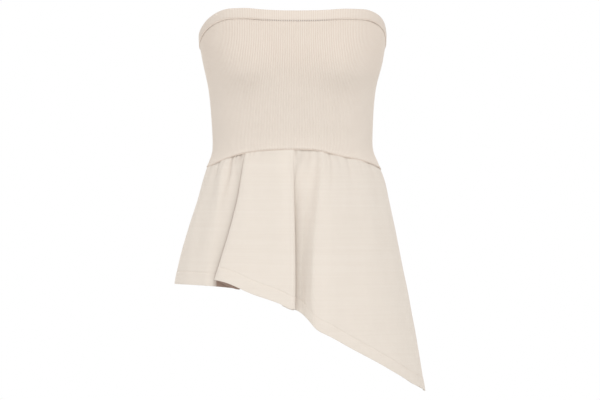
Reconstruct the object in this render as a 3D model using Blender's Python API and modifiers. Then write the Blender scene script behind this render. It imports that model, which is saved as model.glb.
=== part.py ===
"""Strapless knit top with a gathered, slanting peplum, worn and filled out with nobody in it.

Metres, +Z up. The front faces -Y and the wearer's left side is +X.
The origin is on the body's axis, level with the side of the top band that grips the chest.

Every panel is a wall of cloth, worked out from the figure's sections. The peplum is an open
sheet on its outer face with its thickness inwards. The bodice and its band have their ribs in
a fine outer face, over a plain, coarser inner one.
"""

import bpy
import numpy as np

MM = 0.001

# Cloth and seams
KNIT = 1.6 * MM
TURNED_HEM_KNIT = 2.8 * MM
SEAM_GAP = 0.3 * MM
BAND_HEIGHT = 15 * MM
BAND_PROUD = 0.5 * MM
HEM_HEIGHT = 19 * MM
HEM_PROUD = 0.4 * MM
HEM_STEP = 1.5 * MM
SEAM_ROLL_HEIGHT = 4.5 * MM
SEAM_ROLL_PROUD = 0.5 * MM

# Ribs, evenly spaced round the body at one height
RIB_DEPTH = 0.5 * MM
COLUMNS_PER_RIB = 2
RIBS_PER_INNER_COLUMN = 6
INNER_STEP = COLUMNS_PER_RIB * RIBS_PER_INNER_COLUMN
GIRTH_LEVEL = -60 * MM

# How square the body's sections are: 1 is an ellipse, and less is squarer
SQUARENESS = 0.88

# The bust of a general figure, as two soft mounds on the front
BUST_SPREAD = 80 * MM
BUST_WIDTH = 42 * MM
BUST_LEVEL = -52 * MM
BUST_ABOVE = 52 * MM
BUST_BELOW = 27 * MM
BUST_DEPTH = 15 * MM

# A smooth curve's slope at a knot is at most this many times the flatter gap's beside it
STEEPEST = 1.5

# Mesh steps
BODICE_ROW_SHARES = (0, 0.19, 0.34, 0.46, 0.58, 0.76, 1)  # down to the roll at the waist seam
PEPLUM_ROWS = 9
ROW_CROWDING = 1.6  # above 1, the peplum's rows stand closer together near the gathers
LEAST_STEPS = 2  # between two fold lines
WIDEST_STEP = 16 * MM
SHARPEST_ROUND = 60  # degrees between two faces that are still shaded as one round surface

# Sections of the figure and of the flaring peplum below it, in millimetres
BODY_COLUMNS = ("height", "left", "right", "front", "back")
BODY_SECTIONS = (
    (45, 139.5, 139.5, 98, 98),
    (5, 140.5, 140.5, 106, 101),
    (-36, 135.5, 135.5, 111, 99),
    (-81, 126.0, 125.0, 103, 92),
    (-126, 121.5, 120.8, 92, 85),
    (-160, 119.5, 120.0, 86, 83),
    (-171, 120.0, 121.0, 86, 84),
    (-193, 127.0, 129.5, 92, 89),
    (-216, 134.0, 138.0, 101, 97),
    (-246, 142.0, 144.5, 109, 105),
    (-276, 152.0, 151.0, 115, 112),
    (-336, 169.5, 163.2, 122, 123),
    (-376, 177.5, 171.5, 127, 128),
    (-426, 185.0, 180.8, 131, 132),
    (-486, 193.0, 191.3, 134, 135),
    (-534, 198.0, 199.0, 137, 138),
)

# Angles run from the side seam at -X over the front to the one at +X, and on over the back
EDGE_COLUMNS = ("angle", "top_edge", "waist_seam")
EDGE_HEIGHTS = (
    (0, -2.0, -196.0),
    (15, 12.5, -194.5),
    (29, 26.5, -189.5),
    (40, 35.0, -183.5),
    (51, 39.5, -178.5),
    (62, 40.0, -175.0),
    (75, 37.5, -172.0),
    (90, 36.0, -170.8),
    (101, 36.3, -171.5),
    (110, 37.3, -174.5),
    (122, 39.0, -180.5),
    (137, 38.5, -185.0),
    (150, 34.0, -190.0),
    (165, 22.5, -195.5),
    (180, 2.0, -199.5),
    (200, -10.0, -201.0),
    (235, -17.0, -203.0),
    (270, -19.0, -204.0),
    (305, -17.0, -202.5),
    (340, -10.0, -199.0),
    (360, -2.0, -196.0),
)

# Halves of the top: where each starts and ends round the body, and how many ribs it has
HALF_COLUMNS = ("half", "first_angle", "last_angle", "ribs")
HALVES = (
    ("front", 0, 180, 150),
    ("back", 180, 360, 138),
)

# Section of the turned band, in millimetres below its top edge and behind its outer face:
# where its ribbed face starts and ends, and the plain rest, over the top and down behind
BAND_RIBS = ((1.3, 0.0), (13.9, 0.0))
BAND_REST = ((0.0, 1.0), (0.0, 2.2), (1.2, 3.2), (13.8, 3.2), (15.0, 2.5), (15.0, 0.9))

# One row for each fold line that runs from the waist seam down to the hem.
# Angles in degrees, hem heights and lifts in millimetres. A lift is how far the cloth stands
# out from the plain flare, at the seam, just below the gathers and at the hem.
FOLD_COLUMNS = (
    "fold",
    "seam_angle",
    "middle_angle",
    "hem_angle",
    "hem_height",
    "seam_lift",
    "upper_lift",
    "hem_lift",
)
FRONT_FOLDS = (
    ("side seam", 0.0, 0.0, 0.0, -371.6, 0.0, 0.0, 0.0),
    ("side ridge", 17.0, 18.0, 18.0, -371.8, 0.8, 1.5, 1.0),
    ("first gather", 29.0, 32.0, 33.0, -372.5, -0.6, -1.5, -1.0),
    ("second gather", 37.0, 42.5, 44.0, -373.5, 1.2, 2.0, -1.0),
    ("gather valley", 43.5, 51.0, 53.0, -375.0, -0.4, -3.5, -6.0),
    ("under the pleat", 49.4, 58.5, 60.0, -376.7, -0.8, -5.5, -9.0),
    ("hidden turn, back", 51.4, 62.2, 64.6, -377.9, -0.5, -5.6, -8.6),
    ("hidden turn", 53.0, 63.0, 65.7, -377.6, 0.0, -3.9, -6.4),
    ("hidden turn, front", 54.5, 62.0, 64.4, -376.6, 0.5, -2.2, -4.2),
    ("pleat edge, back", 56.0, 58.4, 53.6, -365.6, 0.9, -1.2, -1.6),
    ("pleat edge", 57.8, 57.2, 51.9, -364.7, 1.3, 1.9, 2.6),
    ("pleat edge, front", 59.6, 58.4, 53.5, -365.2, 1.6, 5.0, 6.8),
    ("beside the edge", 63.5, 62.0, 58.0, -367.6, 1.4, 5.8, 8.2),
    ("centre panel", 75.0, 76.0, 73.8, -386.0, 0.6, 4.4, 6.0),
    ("centre edge panel", 83.5, 86.0, 85.6, -400.0, 0.8, 5.2, 7.6),
    ("second edge, front", 88.4, 89.9, 89.5, -407.4, 1.2, 4.8, 7.4),
    ("second edge", 90.0, 90.9, 90.8, -408.5, 1.3, 1.8, 2.8),
    ("second edge, back", 91.6, 89.8, 89.4, -407.2, 0.9, -1.2, -1.8),
    ("second turn", 93.2, 88.0, 87.0, -405.0, 0.0, -4.0, -6.0),
    ("under the second", 95.2, 90.6, 89.6, -407.6, -0.8, -6.6, -9.6),
    ("trough", 99.5, 94.0, 93.0, -414.1, -0.9, -6.2, -9.2),
    ("trough wall", 104.5, 97.2, 95.6, -424.0, 0.0, -2.2, -1.5),
    ("third ridge", 108.5, 100.2, 98.8, -438.0, 1.2, 2.5, 6.0),
    ("third gather", 114.5, 107.0, 105.5, -450.5, -0.5, 1.8, 6.0),
    ("fourth ridge", 120.0, 114.5, 114.5, -466.7, 1.1, 2.4, 3.5),
    ("fourth gather", 128.5, 124.5, 126.5, -485.3, -0.5, 0.4, 3.0),
    ("fifth ridge", 138.0, 136.5, 140.5, -504.5, 0.9, 1.6, 1.0),
    ("fifth gather", 152.0, 152.5, 158.0, -522.9, -0.4, 0.2, 0.0),
    ("other side seam", 180.0, 180.0, 180.0, -532.5, 0.0, 0.0, 0.0),
)
BACK_FOLDS = (
    ("side seam", 180.0, 180.0, 180.0, -532.5, 0.0, 0.0, 0.0),
    ("first ridge", 197.0, 198.0, 200.0, -521.0, 0.8, 1.8, 1.5),
    ("first gather", 212.0, 213.0, 216.0, -505.0, -0.5, -1.2, -2.0),
    ("second ridge", 225.0, 227.0, 231.0, -486.0, 1.1, 2.8, 5.5),
    ("second gather", 236.0, 240.0, 245.0, -461.5, -0.5, -2.4, -5.0),
    ("third ridge", 247.0, 251.5, 257.0, -440.0, 1.1, 3.4, 7.0),
    ("centre trough", 262.0, 265.0, 269.0, -405.0, -0.6, -3.0, -6.0),
    ("fourth ridge", 275.0, 277.5, 280.5, -386.5, 1.2, 3.6, 7.5),
    ("third gather", 287.0, 289.0, 292.0, -374.5, -0.6, -2.6, -5.5),
    ("fifth ridge", 299.0, 301.0, 304.0, -370.5, 1.0, 3.0, 5.5),
    ("fourth gather", 312.0, 314.0, 317.0, -369.5, -0.5, -2.0, -3.5),
    ("sixth ridge", 326.0, 328.0, 331.0, -369.8, 0.9, 2.2, 2.5),
    ("fifth gather", 343.0, 344.0, 345.0, -370.6, -0.4, -0.6, -0.6),
    ("other side seam", 360.0, 360.0, 360.0, -371.6, 0.0, 0.0, 0.0),
)

FOLDS = {"front": FRONT_FOLDS, "back": BACK_FOLDS}

# Shares of the peplum's length, down from the seam: over the first the gathers open into
# folds, and past the second a fold may swing sideways and lie over its neighbour
GATHER_DEPTH = 0.075
SWING_STARTS = 0.05

# Looks
OATMEAL = (0.775, 0.690, 0.600, 1.0)
OATMEAL_PEPLUM = (0.800, 0.720, 0.635, 1.0)
KNIT_ROUGHNESS = 0.92


def column(rows, columns, name):
    """One named column of a table, as an array."""
    return np.array([row[columns.index(name)] for row in rows], float)


def smooth_between(knots, values, where):
    """Values read off a smooth curve through the knots.

    The curve is cubic in each gap. Its slope at a knot is that of the parabola through the
    knot and its neighbours, or level at a crest, and is held near that of the flatter gap
    beside it, so that uneven gaps don't make it overshoot.
    """
    knots, values = np.asarray(knots, float), np.asarray(values, float)
    where = np.clip(where, knots[0], knots[-1])
    gaps = np.diff(knots).reshape(-1, *[1] * (values.ndim - 1))
    rises = np.diff(values, axis=0) / gaps
    before, after = rises[:-1], rises[1:]
    parabola = (before * gaps[1:] + after * gaps[:-1]) / (gaps[1:] + gaps[:-1])
    flatter = STEEPEST * np.minimum(np.abs(before), np.abs(after))
    slopes = np.concatenate([rises[:1], np.clip(parabola, -flatter, flatter), rises[-1:]])
    slopes[1:-1][before * after <= 0] = 0
    gap = np.clip(np.searchsorted(knots, where, side="right") - 1, 0, len(gaps) - 1)
    length = gaps[gap]
    share = (where - knots[gap]).reshape(*np.shape(where), *[1] * (values.ndim - 1)) / length
    return (
        values[gap] * (1 + 2 * share) * (1 - share) ** 2
        + slopes[gap] * length * share * (1 - share) ** 2
        + values[gap + 1] * share**2 * (3 - 2 * share)
        + slopes[gap + 1] * length * share**2 * (share - 1)
    )


def body_size(name, height):
    """A half-width or depth of the figure at a height, in metres."""
    heights = column(BODY_SECTIONS, BODY_COLUMNS, "height")[::-1] * MM
    sizes = column(BODY_SECTIONS, BODY_COLUMNS, name)[::-1] * MM
    return smooth_between(heights, sizes, height)


def edge_height(name, angle):
    """Height of the top edge or of the waist seam at an angle round the body."""
    angles = column(EDGE_HEIGHTS, EDGE_COLUMNS, "angle")
    heights = column(EDGE_HEIGHTS, EDGE_COLUMNS, name) * MM
    return smooth_between(angles, heights, np.mod(angle, 360.0001))


def squared(wave):
    """A sine or cosine pushed outwards, which squares the ellipse a little."""
    return np.sign(wave) * np.abs(wave) ** SQUARENESS


def bust(x, height):
    """How far the two mounds of the bust push the front out at a place on it."""
    above = height > BUST_LEVEL
    reach = np.where(above, BUST_ABOVE, BUST_BELOW)
    rise = np.exp(-(((height - BUST_LEVEL) / reach) ** 2))
    mounds = np.exp(-(((np.abs(x) - BUST_SPREAD) / BUST_WIDTH) ** 2))
    return BUST_DEPTH * rise * mounds


def flare_point(angle, height):
    """A point of the plain section, with no bust and no folds."""
    turn = np.radians(angle)
    across, deep = -squared(np.cos(turn)), -squared(np.sin(turn))
    width = np.where(across < 0, body_size("left", height), body_size("right", height))
    depth = np.where(deep < 0, body_size("front", height), body_size("back", height))
    return np.stack([across * width, deep * depth, height + 0 * across], axis=-1)


def bodice_point(angle, height):
    """A point of the bodice's outer face."""
    point = flare_point(angle, height)
    on_front = np.clip(np.sin(np.radians(angle)), 0, 1) ** 0.5
    point[..., 1] -= bust(point[..., 0], height) * on_front
    return point


def flare_outward(angle, height):
    """Level outward direction of the plain section."""
    step = 0.5
    along = flare_point(angle + step, height) - flare_point(angle - step, height)
    level = np.stack([along[..., 1], -along[..., 0], 0 * along[..., 0]], axis=-1)
    return level / np.linalg.norm(level, axis=-1, keepdims=True)


def raised(points, angle, lift):
    """Points moved level and outwards by a lift each."""
    return points + flare_outward(angle, points[..., 2]) * lift[..., None]


def rib_angles(first_angle, last_angle, ribs):
    """Angles of the crests and furrows of evenly spaced ribs, as one column of an array."""
    fine = np.linspace(first_angle, last_angle, 2001)
    line = flare_point(fine, np.full(fine.shape, GIRTH_LEVEL))
    walked = np.concatenate([[0], np.cumsum(np.linalg.norm(np.diff(line, axis=0), axis=1))])
    shares = np.linspace(0, 1, ribs * COLUMNS_PER_RIB + 1)
    return np.interp(shares, walked / walked[-1], fine)[:, None]


def furrows(angle):
    """0 on the crests and 1 in the furrows, for each column of a ribbed face."""
    return (np.arange(len(angle)) % COLUMNS_PER_RIB)[:, None]


def band_faces(angle):
    """Ribbed face of the turned band, and the plain rest of its section with fewer columns."""
    plain_angle = angle[::INNER_STEP]
    faces = []
    for section, around, furrow in ((BAND_RIBS, angle, furrows(angle)), (BAND_REST, plain_angle, 0)):
        drop, depth = np.array(section).T * MM
        height = edge_height("top_edge", around) - drop
        around = around + 0 * height
        lift = BAND_PROUD - depth - RIB_DEPTH * furrow + 0 * height
        faces.append(raised(bodice_point(around, height), around, lift))
    return faces


def bodice_faces(angle):
    """Ribbed face of a bodice panel, with a roll at the waist seam, and its plain inner face.

    Its upper edge runs straight between the inner columns, as the band's lower edge does.
    """
    column_number = np.arange(len(angle))
    band_line = edge_height("top_edge", angle[::INNER_STEP, 0])
    top = np.interp(column_number, column_number[::INNER_STEP], band_line)[:, None]
    top = top - BAND_HEIGHT - SEAM_GAP
    seam = edge_height("waist_seam", angle) + SEAM_GAP / 2
    body = top + (seam + SEAM_ROLL_HEIGHT - top) * np.array(BODICE_ROW_SHARES)
    height = np.concatenate([body, seam], axis=1)
    in_roll = np.zeros(height.shape)
    in_roll[:, -1] = 1
    around = angle + 0 * height
    surface = bodice_point(around, height)
    ribbed = raised(surface, around, SEAM_ROLL_PROUD * in_roll - RIB_DEPTH * furrows(angle))
    plain = raised(surface, around, np.full(height.shape, -KNIT))
    return ribbed, plain[::INNER_STEP]


class Peplum:
    """The skirt of one half: a plain flare with a fold line at each row of its table."""

    def __init__(self, folds):
        self.seam_angle = column(folds, FOLD_COLUMNS, "seam_angle")
        self.middle_angle = column(folds, FOLD_COLUMNS, "middle_angle")
        self.hem_angle = column(folds, FOLD_COLUMNS, "hem_angle")
        self.hem = column(folds, FOLD_COLUMNS, "hem_height") * MM
        self.lifts = np.stack(
            [column(folds, FOLD_COLUMNS, name) * MM for name in ("seam_lift", "upper_lift", "hem_lift")],
            axis=1,
        )
        on_hem = raised(flare_point(self.hem_angle, self.hem), self.hem_angle, self.lifts[:, 2])
        steps = np.linalg.norm(np.diff(on_hem, axis=0), axis=1)
        self.knots = np.concatenate([[0], np.cumsum(steps)])

    def across(self):
        """Where the grid's columns stand: even steps between each two fold lines."""
        places = [self.knots[:1]]
        for start, end in zip(self.knots[:-1], self.knots[1:]):
            steps = max(LEAST_STEPS, int(np.ceil((end - start) / WIDEST_STEP)))
            places.append(np.linspace(start, end, steps + 1)[1:])
        return np.concatenate(places)

    def face(self):
        """Outer face of the peplum, gathered at the waist seam and turned up at its hem."""
        across = self.across()[:, None]
        seam_angle = smooth_between(self.knots, self.seam_angle, across)
        middle_angle = smooth_between(self.knots, self.middle_angle, across)
        hem_angle = smooth_between(self.knots, self.hem_angle, across)
        seam = edge_height("waist_seam", seam_angle) - SEAM_GAP / 2
        hem = smooth_between(self.knots, self.hem, across)
        hem_line = 1 - HEM_HEIGHT / (seam - hem)
        step_line = 1 - (HEM_HEIGHT - HEM_STEP) / (seam - hem)
        body = np.linspace(0, 1, PEPLUM_ROWS) ** ROW_CROWDING * hem_line
        down = np.concatenate([body, step_line, 1 + 0 * hem], axis=1)
        in_hem = np.zeros(down.shape)
        in_hem[:, PEPLUM_ROWS:] = 1

        swing = np.clip((down - SWING_STARTS) / (1 - SWING_STARTS), 0, 1)
        angle = (
            seam_angle * (1 - swing) * (1 - 2 * swing)
            + middle_angle * 4 * swing * (1 - swing)
            + hem_angle * swing * (2 * swing - 1)
        )
        seam_lift, upper_lift, hem_lift = np.moveaxis(smooth_between(self.knots, self.lifts, across), -1, 0)
        opened = 1 - np.exp(-((down / GATHER_DEPTH) ** 2))
        lift = seam_lift * (1 - opened) + (upper_lift * (1 - down) + hem_lift * down) * opened
        points = flare_point(angle, seam + (hem - seam) * down)
        return raised(points, angle, lift + HEM_PROUD * in_hem), in_hem


def grid_faces(number):
    """Quads between neighbours in a grid of vertex numbers, facing outwards."""
    corners = [number[:-1, :-1], number[:-1, 1:], number[1:, 1:], number[1:, :-1]]
    return np.stack(corners, axis=-1).reshape(-1, 4).tolist()


def sheet_mesh(name, points):
    """An open surface through a grid of points."""
    number = np.arange(points.shape[0] * points.shape[1]).reshape(points.shape[:2])
    mesh = bpy.data.meshes.new(name)
    mesh.from_pydata(points.reshape(-1, 3).tolist(), [], grid_faces(number))
    mesh.shade_smooth()
    return mesh


def wall_mesh(name, fine, coarse):
    """A closed wall between a fine outer grid and a coarse inner one.

    Each column of the coarse grid stands behind one of every few fine columns, so a face of
    the upper or lower rim has one coarse edge and many fine ones. Each end is one face.
    """
    outer = np.arange(fine.shape[0] * fine.shape[1]).reshape(fine.shape[:2])
    inner = outer.size + np.arange(coarse.shape[0] * coarse.shape[1]).reshape(coarse.shape[:2])
    faces = grid_faces(outer) + [face[::-1] for face in grid_faces(inner)]
    step = (len(outer) - 1) // (len(inner) - 1)
    for place in range(len(inner) - 1):
        run = outer[place * step : (place + 1) * step + 1]
        faces.append([*run[:, 0], inner[place + 1, 0], inner[place, 0]])
        faces.append([*run[::-1, -1], inner[place, -1], inner[place + 1, -1]])
    faces.append([*outer[0, ::-1], *inner[0]])
    faces.append([*outer[-1], *inner[-1, ::-1]])
    mesh = bpy.data.meshes.new(name)
    points = np.concatenate([fine.reshape(-1, 3), coarse.reshape(-1, 3)])
    mesh.from_pydata(points.tolist(), [], [[int(corner) for corner in face] for face in faces])
    mesh.shade_smooth()
    mesh.set_sharp_from_angle(angle=np.radians(SHARPEST_ROUND))
    return mesh


def thicken(panel, thickness, doubled_thickness, doubled):
    """Gives a panel its cloth, inwards from its outer face, and more where it is doubled."""
    group = panel.vertex_groups.new(name="doubled_cloth")
    group.add(np.flatnonzero(doubled).tolist(), 1.0, "REPLACE")
    solidify = panel.modifiers.new("cloth", "SOLIDIFY")
    solidify.thickness = doubled_thickness
    solidify.offset = -1
    solidify.use_quality_normals = True
    solidify.vertex_group = group.name
    solidify.thickness_vertex_group = thickness / doubled_thickness


def cloth_material(name, colour):
    material = bpy.data.materials.new(name)
    material.use_nodes = True
    shader = material.node_tree.nodes["Principled BSDF"]
    shader.inputs["Base Color"].default_value = colour
    shader.inputs["Roughness"].default_value = KNIT_ROUGHNESS
    shader.inputs["Metallic"].default_value = 0.0
    material.diffuse_color = colour
    return material


def add_panel(name, mesh, half, material):
    """A panel's object, moved by half a seam gap to part the two halves at the side seams."""
    panel = bpy.data.objects.new(name, mesh)
    mesh.materials.append(material)
    panel.location.y = -SEAM_GAP / 2 if half == "front" else SEAM_GAP / 2
    return panel


def clear_scene():
    for old in list(bpy.data.objects):
        bpy.data.objects.remove(old)


def build():
    clear_scene()
    collection = bpy.data.collections.new("strapless_peplum_top")
    bpy.context.scene.collection.children.link(collection)
    wearer_axis = bpy.data.objects.new("wearer_axis", None)
    wearer_axis.empty_display_size = 50 * MM
    collection.objects.link(wearer_axis)

    for half, first_angle, last_angle, ribs in HALVES:
        angle = rib_angles(first_angle, last_angle, ribs)
        rib_knit = cloth_material(f"rib_knit_{half}", OATMEAL)
        plain_knit = cloth_material(f"plain_knit_{half}", OATMEAL_PEPLUM)

        name = f"top_band_{half}"
        band = add_panel(name, wall_mesh(name, *band_faces(angle)), half, rib_knit)
        name = f"bodice_{half}"
        bodice = add_panel(name, wall_mesh(name, *bodice_faces(angle)), half, rib_knit)
        name = f"peplum_{half}"
        points, in_hem = Peplum(FOLDS[half]).face()
        peplum = add_panel(name, sheet_mesh(name, points), half, plain_knit)
        thicken(peplum, KNIT, TURNED_HEM_KNIT, in_hem)

        for panel in (band, bodice, peplum):
            panel.parent = wearer_axis
            collection.objects.link(panel)


build()
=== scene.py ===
# %% [markdown]
# # A strapless rib-knit top with a slanting peplum
#
# This lesson dresses a plain model of a knitted top. The model already has the right panels
# at the right size. Here each panel is made again as the knit that it is: ribs, stitches,
# a turned band, a gathered peplum with two pleats, and a turned hem. Every surface is a
# function of two numbers, one that runs round the body and one that runs down the cloth.

import bpy
import numpy as np
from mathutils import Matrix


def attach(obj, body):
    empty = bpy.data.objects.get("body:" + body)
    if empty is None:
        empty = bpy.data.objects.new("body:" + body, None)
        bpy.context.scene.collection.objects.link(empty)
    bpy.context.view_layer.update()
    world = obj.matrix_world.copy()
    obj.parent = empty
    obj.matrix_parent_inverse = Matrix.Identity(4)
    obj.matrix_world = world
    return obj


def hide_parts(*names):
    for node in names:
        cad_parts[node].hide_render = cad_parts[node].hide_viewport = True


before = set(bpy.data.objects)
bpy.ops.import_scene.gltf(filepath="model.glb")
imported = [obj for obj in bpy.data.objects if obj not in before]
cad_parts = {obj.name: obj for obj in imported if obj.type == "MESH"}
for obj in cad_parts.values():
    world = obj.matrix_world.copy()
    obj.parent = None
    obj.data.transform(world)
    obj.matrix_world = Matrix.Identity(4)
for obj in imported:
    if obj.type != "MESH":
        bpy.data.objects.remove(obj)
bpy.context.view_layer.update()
MM = 0.001
print("panels:", sorted(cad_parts))

# %% [markdown]
# ## The figure
#
# A knit top has no shape until somebody wears it. Its sections are close to ellipses, a
# little squarer, so one row of numbers for each height is enough: a half-width on each side
# and a depth at the front and the back. Two soft mounds stand for the bust. The alternative
# is to read the shape from the model's own points, but a formula gives any number of
# columns and rows, and a rib needs many.

# %% Sections of the figure, in millimetres
SECTION_COLUMNS = ("height", "left", "right", "front", "back")
SECTIONS = (
    (45, 139.5, 139.5, 98, 98),
    (5, 140.5, 140.5, 106, 101),
    (-36, 135.5, 135.5, 111, 99),
    (-81, 126.0, 125.0, 103, 92),
    (-126, 121.5, 120.8, 92, 85),
    (-160, 119.5, 120.0, 86, 83),
    (-171, 120.0, 121.0, 86, 84),
    (-193, 127.0, 129.5, 92, 89),
    (-216, 134.0, 138.0, 101, 97),
    (-246, 142.0, 144.5, 109, 105),
    (-276, 152.0, 151.0, 115, 112),
    (-336, 169.5, 163.2, 122, 123),
    (-376, 177.5, 171.5, 127, 128),
    (-426, 185.0, 180.8, 131, 132),
    (-486, 193.0, 191.3, 134, 135),
    (-534, 198.0, 199.0, 137, 138),
)
SQUARENESS = 0.88
BUST_SPREAD, BUST_WIDTH, BUST_DEPTH = 80 * MM, 42 * MM, 15 * MM
BUST_LEVEL, BUST_ABOVE, BUST_BELOW = -52 * MM, 52 * MM, 27 * MM

# %% Heights of the top edge and the waist seam round the body
# Angles run from the side seam at -X over the front to the one at +X, and on over the back.
EDGE_COLUMNS = ("angle", "top_edge", "waist_seam")
EDGES = (
    (0, -2.0, -196.0),
    (15, 12.5, -194.5),
    (29, 26.5, -189.5),
    (40, 35.0, -183.5),
    (51, 39.5, -178.5),
    (62, 40.0, -175.0),
    (75, 37.5, -172.0),
    (90, 36.0, -170.8),
    (101, 36.3, -171.5),
    (110, 37.3, -174.5),
    (122, 39.0, -180.5),
    (137, 38.5, -185.0),
    (150, 34.0, -190.0),
    (165, 22.5, -195.5),
    (180, 2.0, -199.5),
    (200, -10.0, -201.0),
    (235, -17.0, -203.0),
    (270, -19.0, -204.0),
    (305, -17.0, -202.5),
    (340, -10.0, -199.0),
    (360, -2.0, -196.0),
)


# %% Smooth curves through a table
STEEPEST = 1.5


def column(rows, names, name):
    """One named column of a table, as an array."""
    return np.array([row[names.index(name)] for row in rows], float)


def smooth_between(knots, values, where):
    """A cubic in each gap. Its slope at a knot is the parabola's through three neighbours,
    level at a crest, and held near the flatter gap's, so that it never overshoots."""
    knots, values = np.asarray(knots, float), np.asarray(values, float)
    where = np.clip(where, knots[0], knots[-1])
    gaps = np.diff(knots).reshape(-1, *[1] * (values.ndim - 1))
    rises = np.diff(values, axis=0) / gaps
    before, after = rises[:-1], rises[1:]
    parabola = (before * gaps[1:] + after * gaps[:-1]) / (gaps[1:] + gaps[:-1])
    flatter = STEEPEST * np.minimum(np.abs(before), np.abs(after))
    slopes = np.concatenate([rises[:1], np.clip(parabola, -flatter, flatter), rises[-1:]])
    slopes[1:-1][before * after <= 0] = 0
    gap = np.clip(np.searchsorted(knots, where, side="right") - 1, 0, len(gaps) - 1)
    length = gaps[gap]
    share = (where - knots[gap]).reshape(*np.shape(where), *[1] * (values.ndim - 1)) / length
    return (
        values[gap] * (1 + 2 * share) * (1 - share) ** 2
        + slopes[gap] * length * share * (1 - share) ** 2
        + values[gap + 1] * share**2 * (3 - 2 * share)
        + slopes[gap + 1] * length * share**2 * (share - 1)
    )


def section_size(name, height):
    """A half-width or a depth of the figure at a height."""
    heights = column(SECTIONS, SECTION_COLUMNS, "height")[::-1] * MM
    return smooth_between(heights, column(SECTIONS, SECTION_COLUMNS, name)[::-1] * MM, height)


def edge_height(name, angle):
    """Height of the top edge or the waist seam at an angle round the body."""
    angles = column(EDGES, EDGE_COLUMNS, "angle")
    return smooth_between(angles, column(EDGES, EDGE_COLUMNS, name) * MM, np.mod(angle, 360.0001))


# %% Points on the figure
def squared(wave):
    """A sine or cosine to a power below 1, which squares the ellipse a little."""
    return np.sign(wave) * np.abs(wave) ** SQUARENESS


def flare_point(angle, height):
    """x is minus width times cosine, y is minus depth times sine, both squared off."""
    turn = np.radians(angle)
    across, deep = -squared(np.cos(turn)), -squared(np.sin(turn))
    width = np.where(across < 0, section_size("left", height), section_size("right", height))
    depth = np.where(deep < 0, section_size("front", height), section_size("back", height))
    return np.stack([across * width, deep * depth, height + 0 * across], axis=-1)


def bust(x, height):
    """Two mounds: bell curves across, and a bell that is longer above than below."""
    reach = np.where(height > BUST_LEVEL, BUST_ABOVE, BUST_BELOW)
    rise = np.exp(-(((height - BUST_LEVEL) / reach) ** 2))
    return BUST_DEPTH * rise * np.exp(-(((np.abs(x) - BUST_SPREAD) / BUST_WIDTH) ** 2))


def bodice_point(angle, height):
    """The flare's point, pushed forwards by the bust where the cloth faces the front."""
    point = flare_point(angle, height)
    point[..., 1] -= bust(point[..., 0], height) * np.clip(np.sin(np.radians(angle)), 0, 1) ** 0.5
    return point


def flare_outward(angle, height):
    """Level outward direction, square to a small step along the section."""
    along = flare_point(angle + 0.5, height) - flare_point(angle - 0.5, height)
    level = np.stack([along[..., 1], -along[..., 0], 0 * along[..., 0]], axis=-1)
    return level / np.linalg.norm(level, axis=-1, keepdims=True)


def raised(points, angle, lift):
    """Points moved level and outwards by a lift each."""
    return points + flare_outward(angle, points[..., 2]) * lift[..., None]


print("chest half-width:", section_size("left", np.array([0.0])).round(3), "m")

# %% [markdown]
# ## From a grid to a sheet of knit
#
# A grid of points becomes an open sheet of quads. Solidify then gives it the cloth's
# thickness inwards, as a real knit has a face and a back. Each sheet carries a UV map that
# counts ribs or stitches, because a stitch must follow the cloth and not the room. Simulated
# cloth would also fold, but it can't place two pleats where the real ones are.


# %% A sheet from a grid
HALF_GAP = 0.15 * MM
SEAM_GAP = 2 * HALF_GAP
# The attribute that carries painted shade to the finishes.
PAINTED_SHADE = "painted_shade"


def keep_painted_shade(mesh, painted_shade):
    """Stores one number for each point, which the finish reads as painted shade."""
    values = mesh.attributes.new(PAINTED_SHADE, "FLOAT", "POINT").data
    values.foreach_set("value", painted_shade.astype(np.float32).ravel())


def knit_sheet(name, points, counts, half, cloth, thicker, painted_shade):
    """An open sheet through points[across, down], with counts[across, down] as its UV map.
    thicker is where the cloth is doubled and how thick it is there. The last argument is a number for
    each point that the finish reads as painted shade: how open the ribs are, or how deep in a crease it
    lies."""
    across, down = points.shape[:2]
    number = np.arange(across * down).reshape(across, down)
    corners = np.stack([number[:-1, :-1], number[:-1, 1:], number[1:, 1:], number[1:, :-1]], axis=-1)
    faces = corners.reshape(-1, 4)
    mesh = bpy.data.meshes.new(name)
    mesh.vertices.add(across * down)
    mesh.loops.add(faces.size)
    mesh.polygons.add(len(faces))
    shift = np.array([0, -HALF_GAP if half == "front" else HALF_GAP, 0])
    mesh.vertices.foreach_set("co", (points + shift).astype(np.float32).ravel())
    mesh.polygons.foreach_set("loop_start", np.arange(0, faces.size, 4, dtype=np.int32))
    mesh.loops.foreach_set("vertex_index", faces.astype(np.int32).ravel())
    uv = mesh.uv_layers.new(name="stitches")
    uv.data.foreach_set("uv", counts.reshape(-1, 2)[faces.ravel()].astype(np.float32).ravel())
    keep_painted_shade(mesh, painted_shade)
    mesh.update(calc_edges=True)
    mesh.shade_smooth()
    sheet = bpy.data.objects.new(name, mesh)
    bpy.context.scene.collection.objects.link(sheet)
    solidify = sheet.modifiers.new("cloth", "SOLIDIFY")
    doubled, doubled_cloth = thicker
    group = sheet.vertex_groups.new(name="doubled_cloth")
    group.add(np.flatnonzero(doubled).tolist(), 1.0, "REPLACE")
    solidify.thickness = doubled_cloth
    solidify.offset = -1
    solidify.use_quality_normals = True
    solidify.vertex_group = group.name
    solidify.thickness_vertex_group = cloth / doubled_cloth
    return sheet


# %% [markdown]
# ## Ribs
#
# Rib knit is columns of stitches that stand out and columns that sink back. Stretched over
# the chest they are 2.7 mm apart here, so 150 of them cross the front. They are evenly
# spaced round the body, not evenly spaced in angle, so the first step is to find the angle
# at each share of the girth. Bump alone would do from far away, but real ribs also break
# the top edge and the light at the sides.

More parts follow.
